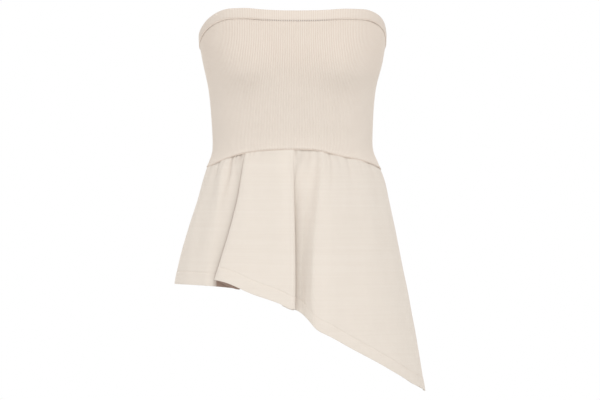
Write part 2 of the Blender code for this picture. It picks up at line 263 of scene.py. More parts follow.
# %% Evenly spaced ribs
FRONT_RIBS, BACK_RIBS = 150, 138
COLUMNS_A_RIB = 4
RIB_DEPTH = 0.55 * MM
COURSE = 1.9 * MM
GIRTH_LEVEL = -60 * MM
STRETCH = ((-200 * MM, 0.45), (-120 * MM, 0.5), (-70 * MM, 0.7), (-25 * MM, 1.0), (45 * MM, 1.0))


def angle_round(first_angle, last_angle, shares):
    """Angle at each share of the girth between two angles, measured at one height."""
    fine = np.linspace(first_angle, last_angle, 2001)
    line = flare_point(fine, np.full(fine.shape, GIRTH_LEVEL))
    walked = np.concatenate([[0], np.cumsum(np.linalg.norm(np.diff(line, axis=0), axis=1))])
    return np.interp(shares, walked / walked[-1], fine)


def rib_wave(ribs):
    """1 on the crest of each rib and 0 in the furrow, as a cosine of the rib count."""
    return 0.5 + 0.5 * np.cos(2 * np.pi * ribs)


def stretch(height):
    """1 over the chest, where the knit is pulled open, down to a half from the waist up."""
    heights, shares = np.array(STRETCH).T
    return smooth_between(heights, shares, height)


def rib_columns(first_angle, last_angle, rib_count):
    """Rib count and angle of each column of a ribbed panel."""
    ribs = np.linspace(0, rib_count, rib_count * COLUMNS_A_RIB + 1)[:, None]
    return ribs, angle_round(first_angle, last_angle, ribs / rib_count)


# %% [markdown]
# ## The bodice
#
# Two ribbed panels, front and back, run from under the turned band to the waist seam. The
# last few millimetres stand up as a roll, because the seam's allowances lie behind it. A
# knit is never quite even, so slow waves a few tenths of a millimetre high run through it.

# %% Bodice sizes
BAND_HEIGHT = 15 * MM
ROLL_HEIGHT, ROLL_PROUD = 4.5 * MM, 0.6 * MM
BODICE_CLOTH, ROLL_CLOTH = 1.3 * MM, 1.8 * MM
BODICE_ROWS = 56
BODICE_UNEVEN, PEPLUM_UNEVEN = 0.35 * MM, 0.5 * MM
HALVES = {"front": (0, 180, FRONT_RIBS), "back": (180, 360, BACK_RIBS)}


def unevenness(angle, height, size):
    """Slow waves of a hand-laid knit: three sines of angle and height that never line up."""
    turn = np.radians(angle)
    wave = (
        np.sin(9 * turn + height / (31 * MM))
        + np.sin(14 * turn - height / (23 * MM) + 1.3)
        + np.sin(5 * turn + height / (12 * MM) + 2.1)
    )
    return size * wave / 3


# %% Make the bodice
def bodice(half):
    """Ribs ride on the figure's surface, fade into the seam roll, and stop under the band."""
    ribs, angle = rib_columns(*HALVES[half])
    top = edge_height("top_edge", angle) - BAND_HEIGHT - SEAM_GAP
    seam = edge_height("waist_seam", angle) + HALF_GAP
    body = top + (seam + ROLL_HEIGHT - top) * np.linspace(0, 1, BODICE_ROWS)
    roll = seam + ROLL_HEIGHT * np.array([[0.82, 0.6, 0.38, 0.18, 0.0]])
    height = np.concatenate([body, roll], axis=1)
    in_roll = np.zeros(height.shape)
    in_roll[:, BODICE_ROWS:] = np.array([0.7, 1.0, 0.9, 0.3, -0.9])
    angle = angle + 0 * height
    pulled = stretch(height)
    lift = -RIB_DEPTH * pulled * (1 - rib_wave(ribs))
    lift = lift + ROLL_PROUD * in_roll + unevenness(angle, height, BODICE_UNEVEN)
    points = raised(bodice_point(angle, height), angle, lift)
    counts = np.stack([ribs + 0 * height, height / COURSE], axis=-1)
    thicker = (in_roll > 0, ROLL_CLOTH)
    # The stretch also sets how much painted shade the finish puts in the furrows.
    return knit_sheet(f"ribbed_bodice_{half}", points, counts, half, BODICE_CLOTH, thicker, pulled)


bodices = {half: bodice(half) for half in HALVES}
print("ribs:", FRONT_RIBS, "in front and", BACK_RIBS, "behind")

# %% [markdown]
# ## The turned band
#
# The top edge is the same rib turned over and linked down, so it is twice as thick, and its
# upper edge is round. Its profile is carried round the body as a closed loop: down the
# face, under, up the back and over the fold. The ribs show on both faces.

# %% Band sizes and profile
BAND_CLOTH = 3.2 * MM
BAND_PROUD = 0.6 * MM
# How much painted shade the finish puts in the band's furrows.
BAND_PAINTED_FURROW_SHADE = 0.85


def band_profile():
    """Height below the top edge and depth behind the face, round a flattened tube."""
    over = np.linspace(-90, 90, 9)
    radius = BAND_CLOTH / 2
    fold_drop = radius - radius * np.cos(np.radians(over))
    fold_depth = radius + radius * np.sin(np.radians(over))
    face_drop = np.array([14.9, 14.6, 13.2, 11, 8.5, 6, 3.6]) * MM
    face_depth = np.array([0.75, 0.25, -0.1, -0.25, -0.3, -0.25, -0.12]) * MM
    back_drop, back_depth = face_drop[::-1], BAND_CLOTH - face_depth[::-1]
    drop = np.concatenate([face_drop, fold_drop, back_drop])
    depth = np.concatenate([face_depth, fold_depth, back_depth])
    return drop, depth


# %% Make the band
def turned_band(half):
    """The profile at every rib column, closed into a tube, with its two ends filled."""
    ribs, angle = rib_columns(*HALVES[half])
    drop, depth = band_profile()
    height = edge_height("top_edge", angle) - drop
    furrow = 0.8 * RIB_DEPTH * (1 - rib_wave(ribs)) * np.where(depth < BAND_CLOTH / 2, 1, -1)
    lift = BAND_PROUD - depth - furrow + 0 * height
    level = flare_outward(angle + 0 * height, height)
    level[[0, -1], :, 1] = 0
    points = bodice_point(angle + 0 * height, height) + level * lift[..., None]
    points[..., 1] += -HALF_GAP if half == "front" else HALF_GAP
    steps = np.diff([drop, depth], prepend=[drop[:1], depth[:1]])
    walked = np.cumsum(np.hypot(*steps))
    number = np.arange(points.shape[0] * len(drop)).reshape(points.shape[0], len(drop))
    ahead = np.roll(number, -1, axis=1)
    sides = np.stack([ahead[:-1], ahead[1:], number[1:], number[:-1]], axis=-1).reshape(-1, 4)
    faces = sides.tolist() + [number[0].tolist(), number[-1][::-1].tolist()]
    mesh = bpy.data.meshes.new(f"turned_band_{half}")
    mesh.from_pydata(points.reshape(-1, 3).tolist(), [], faces)
    counts = np.stack([ribs + 0 * height, walked[None, :] / COURSE + 0 * height], axis=-1)
    counts = counts.reshape(-1, 2)
    uv = mesh.uv_layers.new(name="stitches")
    corner = np.empty(len(mesh.loops), np.int32)
    mesh.loops.foreach_get("vertex_index", corner)
    uv.data.foreach_set("uv", counts[corner].astype(np.float32).ravel())
    keep_painted_shade(mesh, np.full(len(counts), BAND_PAINTED_FURROW_SHADE))
    mesh.shade_smooth()
    mesh.set_sharp_from_angle(angle=np.radians(80))
    band = bpy.data.objects.new(mesh.name, mesh)
    bpy.context.scene.collection.objects.link(band)
    return band


bands = {half: turned_band(half) for half in HALVES}
print("band points:", len(bands["front"].data.vertices))

# %% [markdown]
# ## The peplum
#
# The peplum is plain knit, cut wider than the waist and eased into the seam. Each row of
# the table is one fold line, from the seam to the hem. Two of them turn back on
# themselves: the cloth goes behind, turns, comes forwards and turns again, which is what a
# pleat is. The hem falls to one side, and it is turned up 19 mm.

# %% Fold lines of the peplum
# Angles in degrees, hem heights and lifts in millimetres. A lift is how far the cloth stands
# out from the plain flare, at the seam, just below the gathers and at the hem.
FOLD_COLUMNS = (
    "fold",
    "seam_angle",
    "middle_angle",
    "hem_angle",
    "hem_height",
    "seam_lift",
    "upper_lift",
    "hem_lift",
)
FRONT_FOLDS = (
    ("side seam", 0.0, 0.0, 0.0, -371.6, 0.0, 0.0, 0.0),
    ("side ridge", 17.0, 18.0, 18.0, -371.8, 0.8, 1.5, 1.0),
    ("first gather", 29.0, 32.0, 33.0, -372.5, -0.6, -1.5, -1.0),
    ("second gather", 37.0, 42.5, 44.0, -373.5, 1.2, 2.0, -1.0),
    ("gather valley", 43.5, 51.0, 53.0, -375.0, -0.4, -3.5, -6.0),
    ("under the pleat", 49.4, 58.5, 60.0, -376.7, -0.8, -5.5, -9.0),
    ("hidden turn, back", 51.4, 62.2, 64.6, -377.9, -0.5, -5.6, -8.6),
    ("hidden turn", 53.0, 63.0, 65.7, -377.6, 0.0, -3.9, -6.4),
    ("hidden turn, front", 54.5, 62.0, 64.4, -376.6, 0.5, -2.2, -4.2),
    ("pleat edge, back", 56.0, 58.4, 53.6, -365.6, 0.9, -1.2, -1.6),
    ("pleat edge", 57.8, 57.2, 51.9, -364.7, 1.3, 1.9, 2.6),
    ("pleat edge, front", 59.6, 58.4, 53.5, -365.2, 1.6, 5.0, 6.8),
    ("beside the edge", 63.5, 62.0, 58.0, -367.6, 1.4, 5.8, 8.2),
    ("centre panel", 75.0, 76.0, 73.8, -386.0, 0.6, 4.4, 6.0),
    ("centre edge panel", 83.5, 86.0, 85.6, -400.0, 0.8, 5.2, 7.6),
    ("second edge, front", 88.4, 89.9, 89.5, -407.4, 1.2, 4.8, 7.4),
    ("second edge", 90.0, 90.9, 90.8, -408.5, 1.3, 1.8, 2.8),
    ("second edge, back", 91.6, 89.8, 89.4, -406.5, 0.9, -1.2, -1.8),
    ("second turn", 93.2, 88.0, 87.0, -401.5, 0.0, -4.0, -6.0),
    ("under the second", 95.2, 90.6, 89.6, -406.8, -0.8, -6.6, -9.6),
    ("trough", 99.5, 94.0, 93.0, -414.1, -0.9, -6.2, -9.2),
    ("trough wall", 104.5, 97.2, 95.6, -424.0, 0.0, -2.2, -1.5),
    ("third ridge", 108.5, 100.2, 98.8, -438.0, 1.2, 2.5, 6.0),
    ("third gather", 114.5, 107.0, 105.5, -450.5, -0.5, 1.8, 6.0),
    ("fourth ridge", 120.0, 114.5, 114.5, -466.7, 1.1, 2.4, 3.5),
    ("fourth gather", 128.5, 124.5, 126.5, -485.3, -0.5, 0.4, 3.0),
    ("fifth ridge", 138.0, 136.5, 140.5, -504.5, 0.9, 1.6, 1.0),
    ("fifth gather", 152.0, 152.5, 158.0, -522.9, -0.4, 0.2, 0.0),
    ("other side seam", 180.0, 180.0, 180.0, -532.5, 0.0, 0.0, 0.0),
)
BACK_FOLDS = (
    ("side seam", 180.0, 180.0, 180.0, -532.5, 0.0, 0.0, 0.0),
    ("first ridge", 197.0, 198.0, 200.0, -521.0, 0.8, 1.8, 1.5),
    ("first gather", 212.0, 213.0, 216.0, -505.0, -0.5, -1.2, -2.0),
    ("second ridge", 225.0, 227.0, 231.0, -486.0, 1.1, 2.8, 5.5),
    ("second gather", 236.0, 240.0, 245.0, -461.5, -0.5, -2.4, -5.0),
    ("third ridge", 247.0, 251.5, 257.0, -440.0, 1.1, 3.4, 7.0),
    ("centre trough", 262.0, 265.0, 269.0, -405.0, -0.6, -3.0, -6.0),
    ("fourth ridge", 275.0, 277.5, 280.5, -386.5, 1.2, 3.6, 7.5),
    ("third gather", 287.0, 289.0, 292.0, -374.5, -0.6, -2.6, -5.5),
    ("fifth ridge", 299.0, 301.0, 304.0, -370.5, 1.0, 3.0, 5.5),
    ("fourth gather", 312.0, 314.0, 317.0, -369.5, -0.5, -2.0, -3.5),
    ("sixth ridge", 326.0, 328.0, 331.0, -369.8, 0.9, 2.2, 2.5),
    ("fifth gather", 343.0, 344.0, 345.0, -370.6, -0.4, -0.6, -0.6),
    ("other side seam", 360.0, 360.0, 360.0, -371.6, 0.0, 0.0, 0.0),
)
FOLDS = {"front": FRONT_FOLDS, "back": BACK_FOLDS}

# %% Peplum sizes
GATHER_DEPTH, SWING_STARTS = 0.075, 0.05
PEPLUM_ROWS, ROW_CROWDING, WIDEST_STEP, LEAST_STEPS = 72, 1.4, 1.7 * MM, 5
PEPLUM_CLOTH = 1.6 * MM
HEM_HEIGHT, HEM_PROUD, HEM_CLOTH = 19 * MM, 0.4 * MM, 2.8 * MM
TUCK_DEPTH, TUCK_REACH = 0.7 * MM, 2.4 * MM
WALE, PLAIN_COURSE = 1.7 * MM, 1.3 * MM
# Painted shade in the puckers' troughs, for each millimetre of their depth.
TROUGH_PAINTED_SHADE = 0.16


# %% Puckers just under the waist seam
# Each is a short soft trough: where it starts on the seam, how it leans, how long, wide and
# deep it is. They are as uneven as gathers that a hand has pushed along a thread.
PUCKER_COLUMNS = ("angle", "lean", "length", "width", "depth")
FRONT_PUCKERS = (
    (9, 0, 30, 1.6, 0.5),
    (20, 0, 36, 1.4, 0.6),
    (31, -0.5, 26, 1.0, 1.0),
    (37.5, -1, 22, 1.0, 0.6),
    (45.6, -4.5, 62, 1.0, 1.7),
    (49.0, -1, 20, 0.9, 0.8),
    (53.2, 0.5, 15, 1.7, 1.9),
    (56.6, 0, 17, 0.8, 1.2),
    (61.5, 0, 9, 0.8, 0.7),
    (64.8, 0, 8, 0.8, 0.6),
    (71, 0, 14, 1.2, 0.35),
    (91.4, 0.4, 15, 0.8, 1.5),
    (95.5, 0, 20, 1.3, 0.6),
    (100, -1, 34, 1.3, 0.6),
    (104.8, -1.5, 210, 1.3, 0.6),
    (110.5, 0, 40, 0.9, 0.5),
    (113.5, 0, 64, 1.0, 0.7),
    (119, 0, 26, 1.0, 0.4),
    (127, 0, 44, 1.4, 0.5),
    (138, 0, 24, 1.3, 0.35),
    (151, 0, 38, 1.7, 0.45),
    (167, 0, 30, 1.8, 0.4),
)
BACK_PUCKERS = (
    (188, 0, 34, 1.8, 0.5),
    (203, 0, 48, 1.4, 0.8),
    (212, 0, 28, 1.1, 0.7),
    (219, 0.5, 20, 1.0, 0.5),
    (231, 1, 58, 1.3, 1.0),
    (238, 0.5, 26, 1.0, 0.8),
    (252, 1, 50, 1.2, 1.1),
    (259, 0, 22, 1.0, 0.7),
    (266, 0.5, 70, 1.3, 1.2),
    (281, -0.5, 36, 1.1, 0.8),
    (289, -1, 62, 1.2, 1.2),
    (297, 0, 22, 1.0, 0.6),
    (307, -1, 44, 1.3, 0.9),
    (320, 0, 30, 1.2, 0.7),
    (333, 0, 46, 1.6, 0.7),
    (350, 0, 34, 1.8, 0.4),
)
PUCKERS = {"front": FRONT_PUCKERS, "back": BACK_PUCKERS}


def puckers(half, angle, below_seam):
    """Sum of troughs: a bell across the angle, times a bell down the cloth."""
    total = 0
    for start, lean, length, width, depth in PUCKERS[half]:
        down = below_seam / (length * MM)
        across = (angle - start - lean * down) / (width * (1 + 0.5 * np.minimum(down, 1.5)))
        total = total + depth * MM * np.exp(-(across**2) - 1.6 * down**2)
    return total


# %% Painted shade at the two pleats' edges
# Cloth lies behind an edge on the side that its number gives: -1 is towards the wearer's
# right and 1 towards the left. The other numbers are how much painted shade darkens the cloth
# under the edge, and how dark a painted shade line beside the edge is, where the two layers of
# cloth meet.
PAINTED_PLEAT_SHADE_EDGES = {"front": (("pleat edge", -1, 1.0, 0.42), ("second edge", 1, 0.1, 0.26)), "back": ()}
EDGE_LINE, COVERED_FROM, COVERED_TO, LINE_STARTS = 1.5 * MM, -1 * MM, -3 * MM, 4 * MM


def swung(seam_angle, middle_angle, hem_angle, swing):
    """The parabola through the angles at the seam, half-way down and at the hem."""
    return (
        seam_angle * (1 - swing) * (1 - 2 * swing)
        + middle_angle * 4 * swing * (1 - swing)
        + hem_angle * swing * (2 * swing - 1)
    )


# %% Make the peplum
class Peplum:
    """The peplum of one half: cloth length along the hem is the first parameter."""

    def __init__(self, half):
        folds = FOLDS[half]
        self.half = half
        self.fold_names = [row[0] for row in folds]
        self.seam_angle = column(folds, FOLD_COLUMNS, "seam_angle")
        self.middle_angle = column(folds, FOLD_COLUMNS, "middle_angle")
        self.hem_angle = column(folds, FOLD_COLUMNS, "hem_angle")
        self.hem = column(folds, FOLD_COLUMNS, "hem_height") * MM
        lift_names = ("seam_lift", "upper_lift", "hem_lift")
        self.lifts = np.stack([column(folds, FOLD_COLUMNS, name) * MM for name in lift_names], axis=1)
        on_hem = raised(flare_point(self.hem_angle, self.hem), self.hem_angle, self.lifts[:, 2])
        steps = np.linalg.norm(np.diff(on_hem, axis=0), axis=1)
        self.knots = np.concatenate([[0], np.cumsum(steps)])

    def across(self):
        """Even steps between each two fold lines."""
        places = [self.knots[:1]]
        for start, end in zip(self.knots[:-1], self.knots[1:]):
            steps = max(LEAST_STEPS, int(np.ceil((end - start) / WIDEST_STEP)))
            places.append(np.linspace(start, end, steps + 1)[1:])
        return np.concatenate(places)

    def surface(self, across, down_of):
        """Angles swing from the seam's to the hem's on a parabola, and lifts open out below
        the gathers. down_of(length) gives each row's share of the cloth's own length."""
        seam_angle = smooth_between(self.knots, self.seam_angle, across)
        middle_angle = smooth_between(self.knots, self.middle_angle, across)
        hem_angle = smooth_between(self.knots, self.hem_angle, across)
        seam = edge_height("waist_seam", seam_angle) - HALF_GAP
        hem = smooth_between(self.knots, self.hem, across)
        down, proud = down_of(seam - hem)
        swing = np.clip((down - SWING_STARTS) / (1 - SWING_STARTS), 0, 1)
        angle = swung(seam_angle, middle_angle, hem_angle, swing)
        at_seam, upper, at_hem = np.moveaxis(smooth_between(self.knots, self.lifts, across), -1, 0)
        opened = 1 - np.exp(-((down / GATHER_DEPTH) ** 2))
        lift = at_seam * (1 - opened) + (upper * (1 - down) + at_hem * down) * opened
        below_seam = (seam - hem) * down
        troughs = puckers(self.half, seam_angle, below_seam)
        lift = lift + proud - troughs - TUCK_DEPTH * np.exp(-((below_seam / TUCK_REACH) ** 2))
        uneven = unevenness(2.2 * seam_angle, below_seam, PEPLUM_UNEVEN)
        lift = lift + uneven * np.clip(down * 5, 0, 1)
        points = raised(flare_point(angle, seam - below_seam), angle, lift)
        counts = np.stack([across / WALE + 0 * down, -below_seam / PLAIN_COURSE], axis=-1)
        # Painted shade: darker in the puckers' troughs and at the pleats' edges.
        painted_crease_shade = np.maximum(TROUGH_PAINTED_SHADE * troughs / MM, self.painted_pleat_shade(across, points, below_seam))
        return points, counts, np.clip(painted_crease_shade, 0, 1)

    def painted_pleat_shade(self, across, points, below_seam):
        """Painted shade under a pleat's edge, and a painted shade line as a bell of the distance
        beyond it, seen from the front, on the cloth that lies behind."""
        painted_shade = 0 * below_seam
        for name, side, under, line in PAINTED_PLEAT_SHADE_EDGES[self.half]:
            row = self.fold_names.index(name)
            edge = points[np.argmin(abs(across[:, 0] - self.knots[row]))]
            edge_x = np.interp(-points[..., 2], -edge[:, 2], edge[:, 0])
            beyond = side * (points[..., 0] - edge_x)
            behind = side * (across - self.knots[row]) > 0
            bell = line * np.exp(-((beyond / EDGE_LINE) ** 2))
            covered = under * smooth_between((COVERED_TO, COVERED_FROM), (1, 0), beyond)
            below_roll = np.clip(below_seam / LINE_STARTS, 0, 1)
            painted_shade = np.maximum(painted_shade, behind * np.maximum(bell, covered) * below_roll)
        return painted_shade

    def rows(self, length):
        """Rows crowd towards the gathers, then step out onto the turned hem."""
        hem_line = 1 - HEM_HEIGHT / length
        body = np.linspace(0, 1, PEPLUM_ROWS) ** ROW_CROWDING * (hem_line - 0.4 * MM / length)
        drops = np.array([[0.0, 0.5, 1.1, 2.2, 5, 8, 11, 14, 16.5, 18.0, 18.7, 19.0]]) * MM
        proud = np.array([-0.35, 0.1, 0.8, 1.0, 1.05, 1.1, 1.1, 1.05, 0.95, 0.7, 0.35, -0.4])
        down = np.concatenate([body, hem_line + drops / length], axis=1)
        stand = np.concatenate([0 * body, HEM_PROUD * proud + 0 * (hem_line + drops)], axis=1)
        return down, stand

    def sheet(self):
        """The finished panel, with thicker cloth in its hem."""
        across = self.across()[:, None]
        points, counts, painted_crease_shade = self.surface(across, self.rows)
        doubled = np.zeros(points.shape[:2])
        doubled[:, PEPLUM_ROWS + 1 :] = 1
        name = f"gathered_peplum_{self.half}"
        return knit_sheet(name, points, counts, self.half, PEPLUM_CLOTH, (doubled, HEM_CLOTH), painted_crease_shade)


peplums = {half: Peplum(half) for half in HALVES}
skirts = {half: peplums[half].sheet() for half in HALVES}
print("hem cloth:", [round(float(p.knots[-1]), 3) for p in peplums.values()], "m")

# %% [markdown]
# ## Sewing
#
# A knitted top is linked, not sewn with a flat machine seam: a chain of loops lies along
# the join. Under the band the loops pull pricks between the ribs, and the loops there are
# painted dark as painted shade in the pricks. Above the hem a fine row of stitches holds the
# turned edge. One stitch is a short bent tube of a few dozen faces, and arrays of places and
# directions make all of them at once.


# %% Rows of stitches
def stitch_row(name, places, along, outward, length, thickness, sink, painted_shade_share=0.0):
    """Copies one bowed six-sided tube to every place, laid along the cloth, in its own length
    and thickness. The last argument is how much painted shade darkens each tube."""
    steps, sides = 6, 6
    length, thickness, painted_shade_share = [
        np.broadcast_to(value, len(places))[:, None] for value in (length, thickness, painted_shade_share)
    ]
    run = np.linspace(-0.5, 0.5, steps)
    turn = np.linspace(0, 2 * np.pi, sides, endpoint=False)
    bow = np.cos(np.pi * run)
    radius = (thickness / 2 * (0.35 + 0.65 * bow))[..., None]
    up = (bow * 0.5 * thickness - sink)[..., None] + radius * np.sin(turn)
    aside = radius * np.cos(turn)
    ahead = (run * length)[..., None] + 0 * aside
    side = np.cross(outward, along)
    tube = (
        places[:, None, None, :]
        + ahead[..., None] * along[:, None, None, :]
        + aside[..., None] * side[:, None, None, :]
        + up[..., None] * outward[:, None, None, :]
    )
    number = np.arange(steps * sides).reshape(steps, sides)
    ring = np.roll(number, -1, axis=1)
    walls = np.stack([number[:-1], ring[:-1], ring[1:], number[1:]], axis=-1).reshape(-1, 4)
    count = len(places)
    offsets = np.arange(count)[:, None, None] * steps * sides
    faces = (walls + offsets).reshape(-1, 4).tolist()
    ends = np.stack([number[0][::-1], number[-1]]) + offsets
    faces += ends.reshape(-1, sides).tolist()
    mesh = bpy.data.meshes.new(name)
    mesh.from_pydata(tube.reshape(-1, 3).tolist(), [], faces)
    keep_painted_shade(mesh, np.repeat(painted_shade_share, steps * sides))
    mesh.shade_smooth()
    row = bpy.data.objects.new(name, mesh)
    bpy.context.scene.collection.objects.link(row)
    return row


def directions(line):
    """Unit direction along a line of points, by central differences."""
    along = np.gradient(line, axis=0)
    return along / np.linalg.norm(along, axis=-1, keepdims=True)


# %% Linking under the band and at the waist, and the hem's stitching
# The links pull hardest at the centre front, so they are finest there and prick the cloth.
# There they are painted darkest, as painted shade in the pricks; the waist links get a little.
SLACK_LINK, TIGHT_LINK = 2.0 * MM, 1.1 * MM
SLACK_LENGTH, TIGHT_LENGTH = 2.9 * MM, 1.7 * MM
TIGHT_PAINTED_SHADE, PRICKED, SLACKENS_OVER = 0.6, (74, 113), 12
BAND_LINK_LIFT, WAIST_LINK_LIFT, WAIST_TIGHT = -0.45 * MM, -0.7 * MM, 0.2
HEM_STITCH_PITCH, HEM_STITCH_LENGTH, HEM_STITCH = 3 * MM, 2.1 * MM, 0.55 * MM


def link_row(name, half, height_of, lift, tight_of):
    """One link in each furrow along a level line of the bodice. Tight links are short and fine
    and painted dark as painted shade, and slack ones fill the groove. tight_of gives numbers
    from 0 to 1."""
    first, last, rib_count = HALVES[half]
    ribs = np.arange(rib_count) + 0.5
    angle = angle_round(first, last, ribs / rib_count)
    height = height_of(angle)
    line = raised(bodice_point(angle, height), angle, np.full(angle.shape, lift))
    line[:, 1] += -HALF_GAP if half == "front" else HALF_GAP
    outward = flare_outward(angle, height)
    along = directions(line)
    tight = tight_of(angle)
    thickness = SLACK_LINK + (TIGHT_LINK - SLACK_LINK) * tight
    length = SLACK_LENGTH + (TIGHT_LENGTH - SLACK_LENGTH) * tight
    painted_shade_share = TIGHT_PAINTED_SHADE * tight
    return stitch_row(f"{name}_{half}", line, along, outward, length, thickness, 0.0, painted_shade_share)


def band_links(half):
    """Links just under the band, which slacken on both sides of the pricked stretch."""

    def tight(angle):
        outside = np.maximum(PRICKED[0] - angle, angle - PRICKED[1])
        return np.clip(0.5 - outside / SLACKENS_OVER, 0, 1)

    def height(angle):
        return edge_height("top_edge", angle) - BAND_HEIGHT - HALF_GAP

    return link_row("band_links", half, height, BAND_LINK_LIFT, tight)


def waist_links(half):
    """Links in the groove of the waist seam, all rather slack, with a little painted shade."""

    def height(angle):
        return edge_height("waist_seam", angle)

    def tight(angle):
        return WAIST_TIGHT + 0 * angle

    return link_row("waist_links", half, height, WAIST_LINK_LIFT, tight)


def hem_row(half):
    """Stitches 3 mm apart in the groove above the hem, which follow every fold."""
    peplum = peplums[half]
    across = np.arange(HEM_STITCH_PITCH / 2, peplum.knots[-1], HEM_STITCH_PITCH)[:, None]

    def on_line(length):
        return 1 - (HEM_HEIGHT - 0.2 * MM) / length, 0 * length

    line = peplum.surface(across, on_line)[0]
    nearby = peplum.surface(across + 0.2 * MM, on_line)[0]
    below = peplum.surface(across, lambda length: (1 - (HEM_HEIGHT - MM) / length, 0 * length))[0]
    along, down = nearby[:, 0] - line[:, 0], below[:, 0] - line[:, 0]
    outward = np.cross(down, along)
    along, outward = [v / np.linalg.norm(v, axis=-1, keepdims=True) for v in (along, outward)]
    name = f"hem_stitches_{half}"
    return stitch_row(name, line[:, 0], along, outward, HEM_STITCH_LENGTH, HEM_STITCH, 0.15 * MM)


links = {half: band_links(half) for half in HALVES}
waist_rows = {half: waist_links(half) for half in HALVES}
hem_rows = {half: hem_row(half) for half in HALVES}
front_rows = [rows["front"] for rows in (links, waist_rows, hem_rows)]
print("stitches in front:", [len(row.data.vertices) // 36 for row in front_rows])

# %% [markdown]
# ## Yarn
#
# The yarn is a matt oatmeal. Its furrows and the gaps between its stitch legs are painted
# darker and a touch pinker: painted shade, tinted for light that has bounced off yarn twice.
# Creases, pleat undersides and pricks are painted a dark brown, also painted shade. The
# pattern is read from the UV map, whose whole numbers are ribs and courses, so it follows the
# cloth round the body. Bump gives each stitch its two slanting legs. A little sheen stands
# for the fuzz of loose fibres.

# %% Small helpers for shader nodes
OATMEAL = (0.822, 0.754, 0.680, 1)
# Each knit's darker colour stands for random flecks and for painted shade.
OATMEAL_FLECK_AND_PAINTED_SHADE = (0.700, 0.590, 0.508, 1)
PEPLUM_OATMEAL = (0.830, 0.768, 0.698, 1)
PEPLUM_FLECK_AND_PAINTED_SHADE = (0.760, 0.682, 0.602, 1)
# Painted shade for creases, under the pleats and in the pricks under the band.
PAINTED_SHADE_BROWN = (0.330, 0.235, 0.190, 1)
THREAD = (0.760, 0.650, 0.570, 1)


class Shader:
    """A node tree with short ways to add maths and join it up."""

    def __init__(self, name):
        self.material = bpy.data.materials.new(name)
        self.material.use_nodes = True
        self.nodes = self.material.node_tree.nodes
        self.join = self.material.node_tree.links.new
        self.surface = self.nodes["Principled BSDF"]

    def add(self, kind, **settings):
        node = self.nodes.new(kind)
        for name, value in settings.items():
            setattr(node, name, value)
        return node

    def feed(self, socket, value):
        if isinstance(value, (int, float, tuple)):
            socket.default_value = value
        else:
            self.join(value, socket)

    def maths(self, operation, *values):
        node = self.add("ShaderNodeMath", operation=operation)
        for socket, value in zip(node.inputs, values):
            self.feed(socket, value)
        return node.outputs[0]

    def blend(self, share, low, high):
        node = self.add("ShaderNodeMix", data_type="RGBA")
        for name, value in (("Factor_Float", share), ("A_Color", low), ("B_Color", high)):
            socket = next(s for s in node.inputs if s.identifier == name)
            self.feed(socket, value)
        return node.outputs[2]

    def wave(self, value, turns=1.0, phase=0.0):
        """A cosine from 0 to 1 of a count."""
        angle = self.maths("MULTIPLY_ADD", value, 2 * np.pi * turns, phase)
        return self.maths("MULTIPLY_ADD", self.maths("COSINE", angle), 0.5, 0.5)

    def noise(self, scale, detail=2.0, coordinate=None):
        node = self.add("ShaderNodeTexNoise")
        node.inputs["Scale"].default_value = scale
        node.inputs["Detail"].default_value = detail
        self.join(coordinate or self.add("ShaderNodeTexCoord").outputs["Object"], node.inputs["Vector"])
        return node.outputs["Fac"]

    def stitch_counts(self):
        """The UV map's two counts: ribs or wales, and courses."""
        uv = self.add("ShaderNodeUVMap", uv_map="stitches")
        split = self.add("ShaderNodeSeparateXYZ")
        self.join(uv.outputs["UV"], split.inputs[0])
        return split.outputs[0], split.outputs[1]

    def bumps(self, height, distance, strength):
        bump = self.add("ShaderNodeBump")
        bump.inputs["Distance"].default_value = distance
        bump.inputs["Strength"].default_value = strength
        self.join(height, bump.inputs["Height"])
        self.join(bump.outputs[0], self.surface.inputs["Normal"])

    def matt_yarn(self, colour):
        self.feed(self.surface.inputs["Base Color"], colour)
        self.surface.inputs["Roughness"].default_value = 0.94
        self.surface.inputs["Specular IOR Level"].default_value = 0.18
        self.surface.inputs["Sheen Weight"].default_value = 0.22
        self.surface.inputs["Sheen Roughness"].default_value = 0.55
        self.surface.inputs["Sheen Tint"].default_value = (1.0, 0.95, 0.9, 1)


# %% Rib knit
def rib_knit():
    """Crests of two-legged stitches between sunken furrows; the furrows get painted shade."""
    yarn = Shader("rib_knit")
    ribs, courses = yarn.stitch_counts()
    crest = yarn.wave(ribs)
    leg = yarn.maths("PINGPONG", ribs, 0.5)
    slanted = yarn.maths("MULTIPLY_ADD", leg, 1.2, courses)
    stitch = yarn.wave(slanted)
    mottle = yarn.noise(38, 3)
    fuzz = yarn.noise(1900, 2)
    height = yarn.maths("ADD", yarn.maths("MULTIPLY", crest, 0.9), yarn.maths("MULTIPLY", stitch, 0.45))
    height = yarn.maths("MULTIPLY_ADD", fuzz, 0.25, height)
    # Painted shade: furrows darker the more the ribs are pulled open, stitch gaps a little darker.
    pulled = yarn.add("ShaderNodeAttribute", attribute_name=PAINTED_SHADE).outputs["Fac"]
    furrow = yarn.maths("MULTIPLY", yarn.maths("SUBTRACT", 1.0, crest), pulled)
    light = yarn.maths("MULTIPLY_ADD", furrow, -0.75, 0.95)
    light = yarn.maths("MULTIPLY_ADD", stitch, 0.10, yarn.maths("SUBTRACT", light, 0.05))
    light = yarn.maths("MULTIPLY_ADD", mottle, 0.16, yarn.maths("SUBTRACT", light, 0.08))
    yarn.matt_yarn(yarn.blend(light, OATMEAL_FLECK_AND_PAINTED_SHADE, OATMEAL))
    yarn.bumps(height, 0.5 * MM, 0.8)
    return yarn.material


